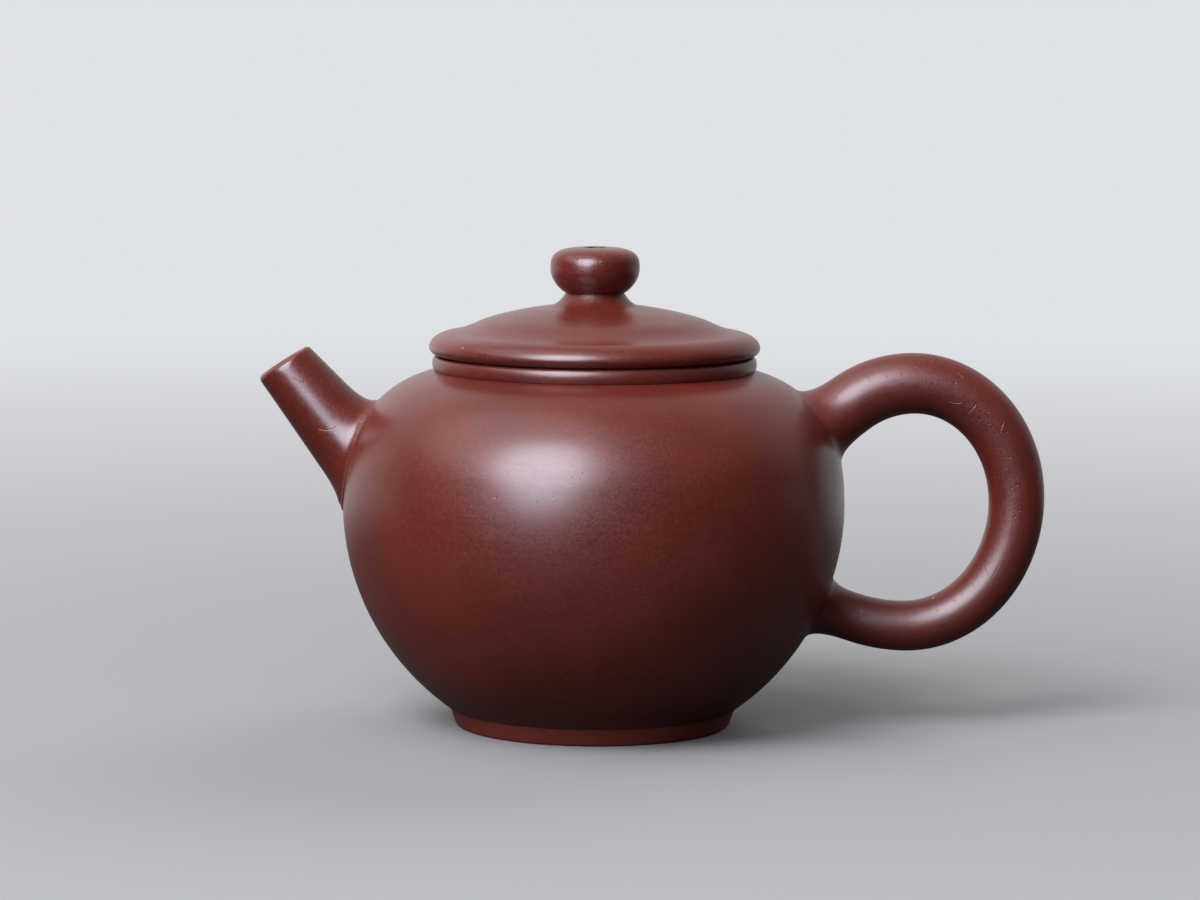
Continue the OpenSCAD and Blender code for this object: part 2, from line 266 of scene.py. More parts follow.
for label, socket in (
    ("Tone", fine.outputs[0]), ("Cloud", cloud.outputs[0]), ("Fleck", pale_sand),
    ("Pore_shade", pin_hole), ("Height", grain_height),
):
    grain.links.new(socket, out.inputs[label])

# Burnishing: the long fine strokes of the horn spatula, which follow the way the piece was worked.
strokes, ends, out = start_group("burnish_strokes", [("Way", "NodeSocketVector")], ["Stroke", "Height"])
long_marks = add(
    strokes, "ShaderNodeTexNoise", {"Vector": ends["Way"], "Scale": 1.0, "Detail": 2.0, "Roughness": 0.5}
)
patches = add(
    strokes, "ShaderNodeTexNoise",
    {"Vector": add(strokes, "ShaderNodeTexCoord").outputs["Object"], "Scale": 95.0, "Detail": 1.0},
)
mark = times(
    strokes, ramp(strokes, long_marks.outputs[0], 0.42, 0.66), ramp(strokes, patches.outputs[0], 0.42, 0.6)
)
strokes.links.new(mark, out.inputs["Stroke"])
strokes.links.new(long_marks.outputs[0], out.inputs["Height"])

# Handling: edges that hands and cloths have rubbed, broken up so that no line is even, short scratches
# that lie any way, painted shade in the holes, and the few specks of lint and lime that lie on any pot.
handling_and_hole_shade, ends, out = start_group(
    "handling_and_hole_shade", [("Amount", "NodeSocketFloat")], ["Rubbed", "Raw", "Hole_shade", "Scratch", "Lint"]
)
place = add(handling_and_hole_shade, "ShaderNodeTexCoord").outputs["Object"]
edges = add(handling_and_hole_shade, "ShaderNodeAttribute", attribute_name="worn").outputs["Fac"]
unworked = add(handling_and_hole_shade, "ShaderNodeAttribute", attribute_name="raw").outputs["Fac"]
painted_hole_shade = add(handling_and_hole_shade, "ShaderNodeAttribute", attribute_name="hole_shade").outputs["Fac"]
uneven = add(handling_and_hole_shade, "ShaderNodeTexNoise", {"Vector": place, "Scale": 240.0, "Detail": 3.0})
rubbed = times(handling_and_hole_shade, edges, ramp(handling_and_hole_shade, uneven.outputs[0], 0.3, 0.66))
lint = add(handling_and_hole_shade, "ShaderNodeTexVoronoi", {"Vector": place, "Scale": 150.0, "Randomness": 1.0})
lint_chance = add(handling_and_hole_shade, "ShaderNodeSeparateColor", {"Color": lint.outputs["Color"]})
speck = times(
    handling_and_hole_shade, ramp(handling_and_hole_shade, lint.outputs["Distance"], 0.03, 0.016),
    ramp(handling_and_hole_shade, lint_chance.outputs["Blue"], 0.72, 0.74),
)
knocks = add(handling_and_hole_shade, "ShaderNodeTexVoronoi", {"Vector": place, "Scale": 250.0, "Randomness": 1.0})
knock_chance = add(handling_and_hole_shade, "ShaderNodeSeparateColor", {"Color": knocks.outputs["Color"]})
upright = add(handling_and_hole_shade, "ShaderNodeNewGeometry").outputs["Normal"]


def in_skin(first, second):
    """The way from one place to another, laid down in the surface."""
    way = add(handling_and_hole_shade, "ShaderNodeVectorMath", {0: first, 1: second}, operation="SUBTRACT").outputs[0]
    above = add(handling_and_hole_shade, "ShaderNodeVectorMath", {0: way, 1: upright}, operation="PROJECT").outputs[0]
    return add(handling_and_hole_shade, "ShaderNodeVectorMath", {0: way, 1: above}, operation="SUBTRACT").outputs[0]


from_knock = in_skin(place, knocks.outputs["Position"])
any_way = in_skin(knocks.outputs["Color"], (0.5, 0.5, 0.5))
any_way = add(handling_and_hole_shade, "ShaderNodeVectorMath", {0: any_way}, operation="NORMALIZE").outputs[0]
along_it = add(handling_and_hole_shade, "ShaderNodeVectorMath", {0: from_knock, 1: any_way}, operation="DOT_PRODUCT")
across_it = add(handling_and_hole_shade, "ShaderNodeVectorMath", {0: from_knock, 1: any_way}, operation="CROSS_PRODUCT")
across_it = add(handling_and_hole_shade, "ShaderNodeVectorMath", {0: across_it.outputs[0]}, operation="LENGTH")
from_middle = sum_up(handling_and_hole_shade, "ABSOLUTE", along_it.outputs["Value"], 0.0)
length = ramp(handling_and_hole_shade, from_middle, 1.25 * mm, 0.6 * mm)
scratch = times(handling_and_hole_shade, ramp(handling_and_hole_shade, across_it.outputs["Value"], 0.1 * mm, 0.03 * mm), length)
scratch = times(handling_and_hole_shade, scratch, ramp(handling_and_hole_shade, knock_chance.outputs["Green"], 0.68, 0.74))
for label, socket in (
    ("Rubbed", times(handling_and_hole_shade, rubbed, ends["Amount"])), ("Raw", unworked), ("Hole_shade", painted_hole_shade),
    ("Scratch", times(handling_and_hole_shade, scratch, ends["Amount"])), ("Lint", speck),
):
    handling_and_hole_shade.links.new(socket, out.inputs[label])


grain_depth = 0.000013


def fired_clay(name, dark, light, shine, fineness=2300.0, way=(110.0, 110.0, 1900.0), relief=1.0, use=0.3):
    """Red-brown clay with a burnished skin. The way gives the length and breadth of the strokes, the
    relief how deep the grain is, and the use how much hands have marked it."""
    clay = bpy.data.materials.new(name)
    clay.use_nodes = True
    tree = clay.node_tree
    tree.nodes.clear()
    speckle_and_pore_shade = add(tree, "ShaderNodeGroup", node_tree=grain)
    speckle_and_pore_shade.inputs["Fineness"].default_value = fineness
    course = add(tree, "ShaderNodeTexCoord").outputs["Object"]
    drawn = add(tree, "ShaderNodeMapping", {"Vector": course, "Scale": way})
    rubbing = add(tree, "ShaderNodeGroup", node_tree=strokes)
    tree.links.new(drawn.outputs[0], rubbing.inputs["Way"])
    wear_and_hole_shade = add(tree, "ShaderNodeGroup", node_tree=handling_and_hole_shade)
    wear_and_hole_shade.inputs["Amount"].default_value = use
    raw = wear_and_hole_shade.outputs["Raw"]
    colour = blend(tree, ramp(tree, speckle_and_pore_shade.outputs["Cloud"], 0.32, 0.68), dark, light)
    tone = ramp(tree, speckle_and_pore_shade.outputs["Tone"], 0.3, 0.7, 0.9, 1.09)
    grey = add(tree, "ShaderNodeCombineColor", {"Red": tone, "Green": tone, "Blue": tone}).outputs[0]
    colour = blend(tree, 1.0, colour, grey, "MULTIPLY")
    for mask, strength, tint in (
        (speckle_and_pore_shade.outputs["Fleck"], 0.28, (0.2, 0.066, 0.034, 1)),
        # Pin holes painted near black: painted shade inside them.
        (speckle_and_pore_shade.outputs["Pore_shade"], 0.6, (0.025, 0.007, 0.006, 1)),
        (wear_and_hole_shade.outputs["Rubbed"], 0.45, (0.13, 0.026, 0.015, 1)),
        (raw, 0.55, (0.125, 0.026, 0.0152, 1)),
        (wear_and_hole_shade.outputs["Scratch"], 0.3, (0.22, 0.1, 0.07, 1)),
        # Painted shade: the inside of the bore, the air hole and the knob's mouth are painted near black.
        (wear_and_hole_shade.outputs["Hole_shade"], 0.85, (0.012, 0.004, 0.003, 1)),
        (wear_and_hole_shade.outputs["Lint"], 0.7, (0.55, 0.46, 0.4, 1)),
    ):
        colour = blend(tree, times(tree, mask, strength), colour, tint)
    rough = ramp(tree, rubbing.outputs["Stroke"], 0.0, 1.0, shine + 0.015, shine - 0.02)
    rough = sum_up(tree, "ADD", rough, ramp(tree, speckle_and_pore_shade.outputs["Tone"], 0.3, 0.7, -0.04, 0.05))
    rough = sum_up(tree, "SUBTRACT", rough, times(tree, wear_and_hole_shade.outputs["Rubbed"], 0.08))
    rough = sum_up(tree, "ADD", rough, times(tree, raw, 0.3))
    lift = times(tree, speckle_and_pore_shade.outputs["Height"], sum_up(tree, "ADD", 1.0, times(tree, raw, 1.6)))
    lift = sum_up(tree, "ADD", lift, times(tree, rubbing.outputs["Height"], 0.04))
    lift = sum_up(tree, "SUBTRACT", lift, times(tree, wear_and_hole_shade.outputs["Scratch"], 1.6))
    bump = add(tree, "ShaderNodeBump", {"Strength": 1.0, "Distance": grain_depth * relief, "Height": lift})
    skin = add(
        tree, "ShaderNodeBsdfPrincipled",
        {"Base Color": colour, "Roughness": rough, "Normal": bump.outputs[0]},
    )
    skin.inputs["Specular IOR Level"].default_value = 0.42
    skin.inputs["Coat Weight"].default_value = 0.08
    skin.inputs["Coat Roughness"].default_value = 0.22
    add(tree, "ShaderNodeOutputMaterial", {"Surface": skin.outputs[0]})
    return clay


clay_tones = (0.097, 0.0137, 0.0083, 1), (0.122, 0.0175, 0.0108, 1)
pot_clay = fired_clay("pot_clay", *clay_tones, 0.33, relief=0.55)

# The spout's frame: where its lip is, which way it points and which way is its upper side.
spout_tip = Vector((-47.7047, 0, 55.7354))
spout_lean = math.radians(50.3)
spout_in = Vector((math.cos(spout_lean), 0, -math.sin(spout_lean)))
spout_up = Vector((math.sin(spout_lean), 0, math.cos(spout_lean)))
spout_frame = Matrix.Translation(spout_tip * mm) @ Matrix(
    [[spout_up[i], (0, -1, 0)[i], spout_in[i], 0] for i in range(3)] + [[0, 0, 0, 1]]
)
channel_r = 5.0

belly = bmesh.new()
inner_r, inner_shoulder = belly_r - wall, shoulder_r - wall
joint_z = shoulder_mid[1] + shoulder_r * math.sin(math.radians(joint_at))
low, low_in = height_angle(base_top, belly_z, belly_r), height_angle(base_top, belly_z, inner_r)
joint_in = height_angle(joint_z, shoulder_mid[1], inner_shoulder)
tuck = 0.15
first = start_outline(belly, belly_r * math.cos(math.radians(low)), base_top)
at = arc_by(belly, first, (0, belly_z), tuck, 1)
at = arc_by(belly, at, (0, belly_z), shoulder_from - low - tuck, 44)
at = arc_by(belly, at, shoulder_mid, joint_at - tuck - shoulder_from, 22)
at = arc_by(belly, at, shoulder_mid, tuck, 1)
at = line_to(belly, at, shoulder_mid[0] + inner_shoulder * math.cos(math.radians(joint_in)), joint_z)
at = arc_by(belly, at, shoulder_mid, shoulder_from - joint_in, 18)
at = arc_by(belly, at, (0, belly_z), low_in - shoulder_from, 32)
belly.edges.new((at, first))
turn(belly)
work_by_hand(belly)
hole = bmesh.new()
bmesh.ops.create_cone(
    hole, cap_ends=True, segments=72, radius1=channel_r * mm, radius2=channel_r * mm, depth=26 * mm
)
bmesh.ops.transform(hole, matrix=spout_frame @ Matrix.Translation((0, 0, 17 * mm)), verts=hole.verts[:])
belly = pierce(belly, hole)


def inside_wall(co):
    """Raw clay on the inner face of the body."""
    return 1.0 if belly_gap(co) < -wall / 2 else 0.0


fire(belly, "belly_strip", pot_clay, "pot", "body_wall", inside_wall)

# Shoulder
# A thinner slab of the same clay, laid on the beaten wall and luted to it with slip, then paddled
# until the joint is gone. The mouth is cut through it with a compass knife.
mouth_r = 20.95
slope = math.tan(math.radians(90 - shoulder_to))
slope_from = (
    shoulder_mid[0] + shoulder_r * math.cos(math.radians(shoulder_to)),
    shoulder_mid[1] + shoulder_r * math.sin(math.radians(shoulder_to)),
)
under_from = (
    shoulder_mid[0] + inner_shoulder * math.cos(math.radians(shoulder_to)),
    shoulder_mid[1] + inner_shoulder * math.sin(math.radians(shoulder_to)),
)
under_neck = 24.6


def round_off(bm, corners, offset, segments):
    """Rounds the corners of an outline."""
    bmesh.ops.bevel(
        bm, geom=corners, offset=offset * mm, segments=segments, profile=0.5, affect="VERTICES", material=-1
    )


shoulder = bmesh.new()
first = start_outline(shoulder, shoulder_mid[0] + shoulder_r * math.cos(math.radians(joint_at)), joint_z)
at = arc_by(shoulder, first, shoulder_mid, tuck, 1)
at = arc_by(shoulder, at, shoulder_mid, shoulder_to - joint_at - tuck, 12)
at = line_to(shoulder, at, under_neck, slope_from[1] + (slope_from[0] - under_neck) * slope)
at = line_to(shoulder, at, mouth_r, slope_from[1] + (slope_from[0] - mouth_r) * slope)
lip = line_to(shoulder, at, mouth_r, under_from[1] + (under_from[0] - mouth_r) * slope)
at = line_to(shoulder, lip, *under_from)
at = arc_by(shoulder, at, shoulder_mid, joint_in - shoulder_to, 4)
shoulder.edges.new((at, first))
round_off(shoulder, [lip], 0.5, 3)
turn(shoulder)
work_by_hand(shoulder)


def under_shoulder(co):
    """Raw clay on the under side and in the mouth."""
    return 1.0 if belly_gap(co) < -0.4 else 0.0


fire(shoulder, "shoulder_slab", pot_clay, "pot", "shoulder_disc", under_shoulder)

# Base
# A round slab that closes the wall underneath, pressed in from below so that it stands clear of the
# table inside the foot. Scraped level, not burnished.
base_low = 1.6
base_ring = 10
raw_clay = fired_clay(
    "raw_clay", (0.112, 0.0185, 0.0103, 1), (0.144, 0.0256, 0.0147, 1), 0.48,
    fineness=1700.0, way=(500.0, 500.0, 900.0), relief=2.0,
)
base = bmesh.new()
base_edge = height_angle(base_low, belly_z, belly_r)
at = start_outline(base, 0, base_low)
at = line_to(base, at, base_ring, base_low)
at = line_to(base, at, belly_r * math.cos(math.radians(base_edge)), base_low)
at = arc_by(base, at, (0, belly_z), low - base_edge - tuck, 8)
at = arc_by(base, at, (0, belly_z), tuck, 1)
at = line_to(base, at, inner_r * math.cos(math.radians(low_in)), base_top)
at = line_to(base, at, base_ring, base_top)
line_to(base, at, 0, base_top)
turn(base)
work_by_hand(base)
fire(
    base, "base_slab", raw_clay, "pot", "base_disc",
    lambda co: 0.0 if belly_gap(co) > -0.3 and co.z > 2.4 * mm else 1.0,
)

# Foot
# A thin strip of clay luted round the base, trued with a wooden knife and rubbed flat on the table,
# so that its lower edge is the barest clay on the pot.
foot_r = 22.0
foot_top = 3.1
foot_taper = 0.9
foot_w = 3.2
table_r = foot_r - foot_taper
foot_shoulder = 2.7
foot_back = 20.0
# The foot's clay is the pot's clay painted lighter: painted light and sheen where the lamp falls on the
# foot.
foot_clay = fired_clay("foot_clay", (0.16, 0.027, 0.018, 1), (0.2, 0.035, 0.0235, 1), 0.34, fineness=2000.0)
foot = bmesh.new()
first = start_outline(foot, table_r - foot_w, 0)
heel = line_to(foot, first, table_r, 0)
at = line_to(foot, heel, foot_r, foot_shoulder)
at = line_to(foot, at, foot_r - 0.3, foot_top)
at = line_to(foot, at, foot_back, base_low + 0.4)
at = line_to(foot, at, table_r - foot_w, base_low + 0.2)
foot.edges.new((at, first))
round_off(foot, [heel, first], 0.45, 4)
turn(foot)
work_by_hand(foot, depth=0.07, spread=9.0)
fire(
    foot, "foot_strip", foot_clay, "pot", "foot_ring",
    lambda co: 1.0 if co.z < 0.2 * mm or math.hypot(co.x, co.y) < (table_r - 0.6) * mm else 0.0,
)

# Neck
# A half-round ring of clay around the mouth. Its flat top is the seat on which the lid turns, ground
# true by rubbing the lid on it.
neck_r = 24.85
neck_h = 2.4
neck_bulge = 0.9
neck_flatness = 0.65
seat_mid = 22.4
ground_off = 0.04
half_neck = (neck_h - ground_off) / 2
neck_low = slope_from[1] + (slope_from[0] - neck_r) * slope
seat = neck_low + neck_h
neck = bmesh.new()
first = start_outline(neck, mouth_r, neck_low + 0.9)
at = line_to(neck, first, neck_r - neck_bulge - 0.5, neck_low - 0.2)
at = line_to(neck, at, neck_r - neck_bulge, neck_low - 0.05)
neck_mid = (neck_r - neck_bulge, neck_low + half_neck)
at = oval_by(neck, at, neck_mid, (neck_bulge, half_neck), -80, 90, 22, neck_flatness)
at = line_to(neck, at, seat_mid, seat - ground_off)
brim = line_to(neck, at, mouth_r, seat - ground_off)
neck.edges.new((brim, first))
round_off(neck, [brim], 0.45, 4)
turn(neck)
work_by_hand(neck, depth=0.06)
fire(
    neck, "neck_roll", pot_clay, "pot", "neck_ring",
    lambda co: 1.0 if math.hypot(co.x, co.y) < (neck_r - neck_bulge - 0.2) * mm else 0.0,
)

# Spout
# A tapered tube rolled on a stick, cut to fit the belly, luted over its hole and worked into the wall
# with a wet tool, which leaves one fine ridge around the root. The lip is cut a little level.
lip_r = 4.5
spout_taper = 0.09
bore_r = 3.0
bore_len = 10.0
widens_over = 7.0
lip_tilt = math.tan(math.radians(6))
lip_round = 0.78
spout_broader = 0.055
flare_len = 6.2
upper_flare, lower_flare, side_flare = 1.2, 0.8, 0.5
root_reach, reach_above = 1.1, 0.3
root_spread, spread_above = 0.5, 0.2
ridge_h, ridge_at, ridge_w = 0.13, 0.45, 0.2
tilt_len = 9.0
bore_past = 0.3
bore_clear = 0.1
spout_depth = 1.3
spout_sides = 96
skin_rings, root_rings, lip_rings, bore_rings = 26, 9, 12, 12


def tube(bm, sides, rings, place_of):
    """Draws a round tube out of a circle, then puts each point where its ring and angle say."""
    bmesh.ops.create_circle(bm, segments=sides, radius=1.0)
    bmesh.ops.spin(
        bm, geom=bm.verts[:] + bm.edges[:], cent=(0, 0, 0), axis=(0, 0, 1), dvec=(0, 0, 1), angle=0.0,
        steps=rings - 1,
    )
    for v in bm.verts:
        v.co = place_of(round(v.co.z), round(math.degrees(math.atan2(v.co.y, v.co.x)), 3))


def meets_belly(line, near, far):
    """Where a line runs into the body."""
    while abs(far - near) > 1e-5:
        middle = (near + far) / 2
        if belly_gap(line(middle)) > 0:
            near = middle
        else:
            far = middle
    return near


def root_point(share, before, hit, away, spread):
    """The hollow curve from a roll of clay out onto the belly, where a wet tool has worked it in."""
    out = to_belly(hit)[1]
    skirt = hit + (away - out * away.dot(out)).normalized() * spread * mm
    for _ in range(3):
        gap, out = to_belly(skirt)
        skirt = skirt - out * gap * mm
    inward = hit - skirt
    corner = skirt + (inward - out * inward.dot(out)).normalized() * inward.length
    return skirt * (1 - share) ** 2 + corner * 2 * share * (1 - share) + before * share ** 2


def from_spout(along, degrees, r, broader=0.0):
    """A point on the spout: along its axis from the lip, and round it from its upper side."""
    angle = math.radians(degrees)
    tilt = lip_tilt * math.cos(angle) * lip_r * max(0.0, 1 - along / tilt_len) ** 2
    return spout_frame @ (Vector((r * math.cos(angle), (r + broader) * math.sin(angle), along + tilt)) * mm)


def straight_side(along, degrees):
    """The outside of the spout without its flare, a little broader from front to back than it is tall."""
    return from_spout(along, degrees, lip_r + spout_taper * along, spout_broader * along)


straight_len = {}


def spout_side(degrees, along):
    """The outside of the spout, which widens in a hollow curve near the belly."""
    if degrees not in straight_len:
        straight_len[degrees] = meets_belly(lambda s: straight_side(s, degrees), 0.0, 40.0)
    upper = (1 + math.cos(math.radians(degrees))) / 2
    aside = math.sin(math.radians(degrees)) ** 2
    near_root = max(0.0, 1 - (straight_len[degrees] - along) / flare_len)
    full = lower_flare + (upper_flare - lower_flare) * upper - side_flare * aside
    flare = full * min(1.0, near_root) ** 3
    return from_spout(along, degrees, lip_r + spout_taper * along + flare, spout_broader * along)


side_len = {}


def spout_point(ring, degrees):
    """The rings run from the root up the outside, over the lip and down the bore."""
    if degrees not in side_len:
        side_len[degrees] = meets_belly(lambda s: spout_side(degrees, s), 0.0, 40.0)
    length = side_len[degrees]
    upper = (1 + math.cos(math.radians(degrees))) / 2
    reach = root_reach + reach_above * upper
    if ring <= root_rings:
        share = ring / root_rings
        before, hit = spout_side(degrees, length - reach), spout_side(degrees, length)
        away = hit - from_spout(length, degrees, 0.0)
        point = root_point(share, before, hit, away, root_spread + spread_above * upper)
        return point + away.normalized() * ridge_h * math.exp(-((share - ridge_at) / ridge_w) ** 2) * mm
    ring -= root_rings
    if ring <= skin_rings:
        along = length - reach + (lip_round - length + reach) * ring / skin_rings
        return spout_side(degrees, along)
    ring -= skin_rings
    if ring <= lip_rings:
        turned = math.pi * ring / lip_rings
        across = (lip_r + spout_taper * lip_round - bore_r) / 2
        r = bore_r + across * (1 + math.cos(turned))
        return from_spout(lip_round * (1 - math.sin(turned)), degrees, r)
    ring -= lip_rings
    along = lip_round + (length + bore_past - lip_round) * ring / bore_rings
    wider = min(1.0, max(0.0, (along - bore_len) / widens_over))
    return from_spout(along, degrees, bore_r + (channel_r - bore_clear - bore_r) * wider)


def press_in(bm, depth, side=1):
    """Keeps clay that was pressed into the wall from showing on its other side. The side is 1 for
    clay that comes from outside and -1 for clay that comes from inside."""
    for v in bm.verts:
        gap, out = to_belly(v.co)
        past = gap + depth
        if past * side < 0:
            v.co -= out * (past * mm)


spout = bmesh.new()
tube(spout, spout_sides, 1 + root_rings + skin_rings + lip_rings + bore_rings, spout_point)
bmesh.ops.bridge_loops(spout, edges=[e for e in spout.edges if e.is_boundary])
bmesh.ops.recalc_face_normals(spout, faces=spout.faces[:])
press_in(spout, spout_depth)
work_by_hand(spout, fades_over=3.0)
spout_axis = spout_frame.inverted()


def in_bore(co):
    """Raw clay inside the bore, which tea runs through, painted dark there as shade in the hole."""
    at_axis = spout_axis @ co
    return 1.0 if at_axis.xy.length < (bore_r + 0.25) * mm and at_axis.z > (lip_round + 0.1) * mm else 0.0


spout_clay = fired_clay("spout_clay", *clay_tones, 0.28, way=(420.0, 1500.0, 420.0), relief=1.3, use=0.9)
fire(spout, "spout_tube", spout_clay, "pot", "spout", in_bore, in_bore)

# Strainer
# A small dome of clay pressed over a ball and pierced with a brass tube, luted inside the wall over
# the spout's hole so that the leaves stay in the pot.
strainer_r = 8.0
strainer_t = 1.4
strainer_lip = 0.3
strainer_depth = 1.4
spout_len = 16.1
strainer_mid = spout_tip + spout_in * (spout_len + wall + 0.6)
strainer_tilt = math.radians(90 + 13.6)
hole_d = 1.7
hole_rows = ((0, 1), (26, 6), (52, 12))
strainer = bmesh.new()
at = start_outline(strainer, 0.0, strainer_r)
at = arc_by(strainer, at, (0, 0), -88, 30)
at = line_to(strainer, at, strainer_r - strainer_t, strainer_lip)
lip_angle = math.degrees(math.atan2(strainer_lip, strainer_r - strainer_t))
arc_by(strainer, at, (0, 0), 90 - lip_angle, 24)
turn(strainer, 96)
punch = bmesh.new()
for lean, count in hole_rows:
    for i in range(count):
        aim = Matrix.Rotation(math.tau * i / count, 4, "Z") @ Matrix.Rotation(math.radians(lean), 4, "Y")
        bmesh.ops.create_cone(
            punch, cap_ends=True, segments=28, radius1=hole_d / 2 * mm, radius2=hole_d / 2 * mm,
            depth=5 * mm, matrix=aim @ Matrix.Translation((0, 0, (strainer_r - strainer_t / 2) * mm)),
        )
strainer = pierce(strainer, punch)
rims = [e for e in strainer.edges if e.is_manifold and e.calc_face_angle() > math.radians(50)]
bmesh.ops.bevel(
    strainer, geom=rims, offset=0.1 * mm, segments=2, profile=0.5, affect="EDGES", material=-1,
    clamp_overlap=True,
)
strainer_frame = Matrix.Translation(strainer_mid * mm) @ Matrix.Rotation(strainer_tilt, 4, "Y")
bmesh.ops.transform(strainer, matrix=strainer_frame, verts=strainer.verts[:])
press_in(strainer, strainer_depth, side=-1)
fire(strainer, "strainer_dome", raw_clay, "pot", "strainer", lambda co: 1.0)

# Handle
# A roll of clay, thicker at its upper end, bent round into a loop and luted to the shoulder and the
# belly. Both roots are worked out into the wall with a wet thumb, then burnished along their length.
crest = (49.0, 52.895)
furthest = (64.9, 34.895)
trough = (48.0, 15.395)
upper_bend_r, upper_slope = 16.2, 36.0
lower_bend_r, lower_slope = 25.0, 17.0
handle_top_r, handle_low_r = 4.8, 3.75
handle_sides = 72
loop_rings, thumb_rings = 150, 20
thumb_reach, reach_aside = 5.0, 1.5
thumb_spread, spread_aside = 2.0, 1.6
thumb_ease = 1.3
handle_depth = 1.2


def on_oval(centre, radii, degrees):
    """A point of an oval, by its angle."""
    angle = math.radians(degrees)
    return Vector((centre[0] + radii[0] * math.cos(angle), 0, centre[1] + radii[1] * math.sin(angle)))


def bent(centre, radii, first, end, steps=60):
    """The points of a bend, without its first."""
    return [on_oval(centre, radii, first + (end - first) * i / steps) for i in range(1, steps + 1)]


def towards(degrees, length):
    """A straight run of the roll."""
    return Vector((math.cos(math.radians(degrees)), 0, math.sin(math.radians(degrees)))) * length


upper_bend = (crest[0], crest[1] - upper_bend_r), (upper_bend_r, upper_bend_r)
lower_bend = (trough[0], trough[1] + lower_bend_r), (lower_bend_r, lower_bend_r)
upper_loop = (crest[0], furthest[1]), (furthest[0] - crest[0], crest[1] - furthest[1])
lower_loop = (trough[0], furthest[1]), (furthest[0] - trough[0], furthest[1] - trough[1])
arm_len = 16.0
upper_end = on_oval(*upper_bend, 90 + upper_slope)
middle = [upper_end - towards(upper_slope, arm_len), upper_end]
middle += bent(*upper_bend, 90 + upper_slope, 90)
middle += bent(*upper_loop, 90, 0)
middle += bent(*lower_loop, 0, -90)
middle += bent(*lower_bend, -90, -90 - lower_slope)
middle.append(middle[-1] - towards(-lower_slope, arm_len))
runs = [0.0]
for a, b in zip(middle, middle[1:]):
    runs.append(runs[-1] + (b - a).length)


def side_of_roll(degrees, run):
    """A point of the roll's skin, by the run along its middle and the angle round it."""
    i = min(max(bisect.bisect_right(runs, run) - 1, 0), len(runs) - 2)
    step = (middle[i + 1] - middle[i]).normalized()
    before = (middle[i] - middle[i - 1]).normalized() if i else step
    after = (middle[i + 2] - middle[i + 1]).normalized() if i + 2 < len(middle) else step
    share = (run - runs[i]) / (runs[i + 1] - runs[i])
    along = ((before + step) * (1 - share) + (step + after) * share).normalized()
    r = handle_top_r + (handle_low_r - handle_top_r) * (run - arm_len) / (runs[-1] - 2 * arm_len)
    angle = math.radians(degrees)
    away = Vector((along.z * math.cos(angle), math.sin(angle), -along.x * math.cos(angle)))
    return (middle[i].lerp(middle[i + 1], share) + away * r) * mm, away


def thumbed(degrees):
    """How far the thumb worked the clay, up the roll and out over the wall: furthest at the sides."""
    aside = math.sin(math.radians(degrees)) ** 2
    return thumb_reach + reach_aside * aside, thumb_spread + spread_aside * aside


roots = {}


def handle_point(ring, degrees):
    """The rings run from inside the shoulder out along the loop and into the belly."""
    if degrees not in roots:
        roots[degrees] = (
            meets_belly(lambda s: side_of_roll(degrees, s)[0], arm_len, 0.0),
            meets_belly(lambda s: side_of_roll(degrees, s)[0], runs[-1] - arm_len, runs[-1]),
        )
    upper, lower = roots[degrees]
    last = loop_rings + 2 * thumb_rings + 2
    if ring > last / 2:
        ring, hit, way = last - ring, lower, -1
    else:
        hit, way = upper, 1
    corner, away = side_of_roll(degrees, hit)
    reach, spread = thumbed(degrees)
    if ring == 0:
        return corner - to_belly(corner)[1] * handle_depth * mm
    if ring <= thumb_rings:
        share = ((ring - 1) / thumb_rings) ** thumb_ease
        return root_point(share, side_of_roll(degrees, hit + way * reach)[0], corner, away, spread)
    first, final = upper + reach, lower - reach
    share = (ring - 1 - thumb_rings) / loop_rings
    return side_of_roll(degrees, first + (final - first) * (share if way > 0 else 1 - share))[0]


handle = bmesh.new()
tube(handle, handle_sides, loop_rings + 2 * thumb_rings + 3, handle_point)
bmesh.ops.holes_fill(handle, edges=[e for e in handle.edges if e.is_boundary], sides=0)
bmesh.ops.recalc_face_normals(handle, faces=handle.faces[:])
work_by_hand(handle, fades_over=3.0)
handle_clay = fired_clay("handle_clay", *clay_tones, 0.36, way=(700.0, 700.0, 700.0), relief=1.5, use=0.9)
fire(handle, "handle_roll", handle_clay, "pot", "handle")

# Lid flange
# A deep straight collar under the lid, turned true so that it slides into the mouth and holds the lid
# while the pot is tipped.
flange_r = 20.65
flange_t = 2.2
flange_h = 8.0
flange = bmesh.new()
first = start_outline(flange, flange_r - flange_t, seat)
toe_in = line_to(flange, first, flange_r - flange_t, seat - flange_h)
toe_out = line_to(flange, toe_in, flange_r, seat - flange_h)
at = line_to(flange, toe_out, flange_r, seat)
flange.edges.new((at, first))
round_off(flange, [toe_in, toe_out], 0.6, 4)
turn(flange)
fire(flange, "lid_collar_ring", raw_clay, "lid_collar", "lid_flange", lambda co: 1.0)

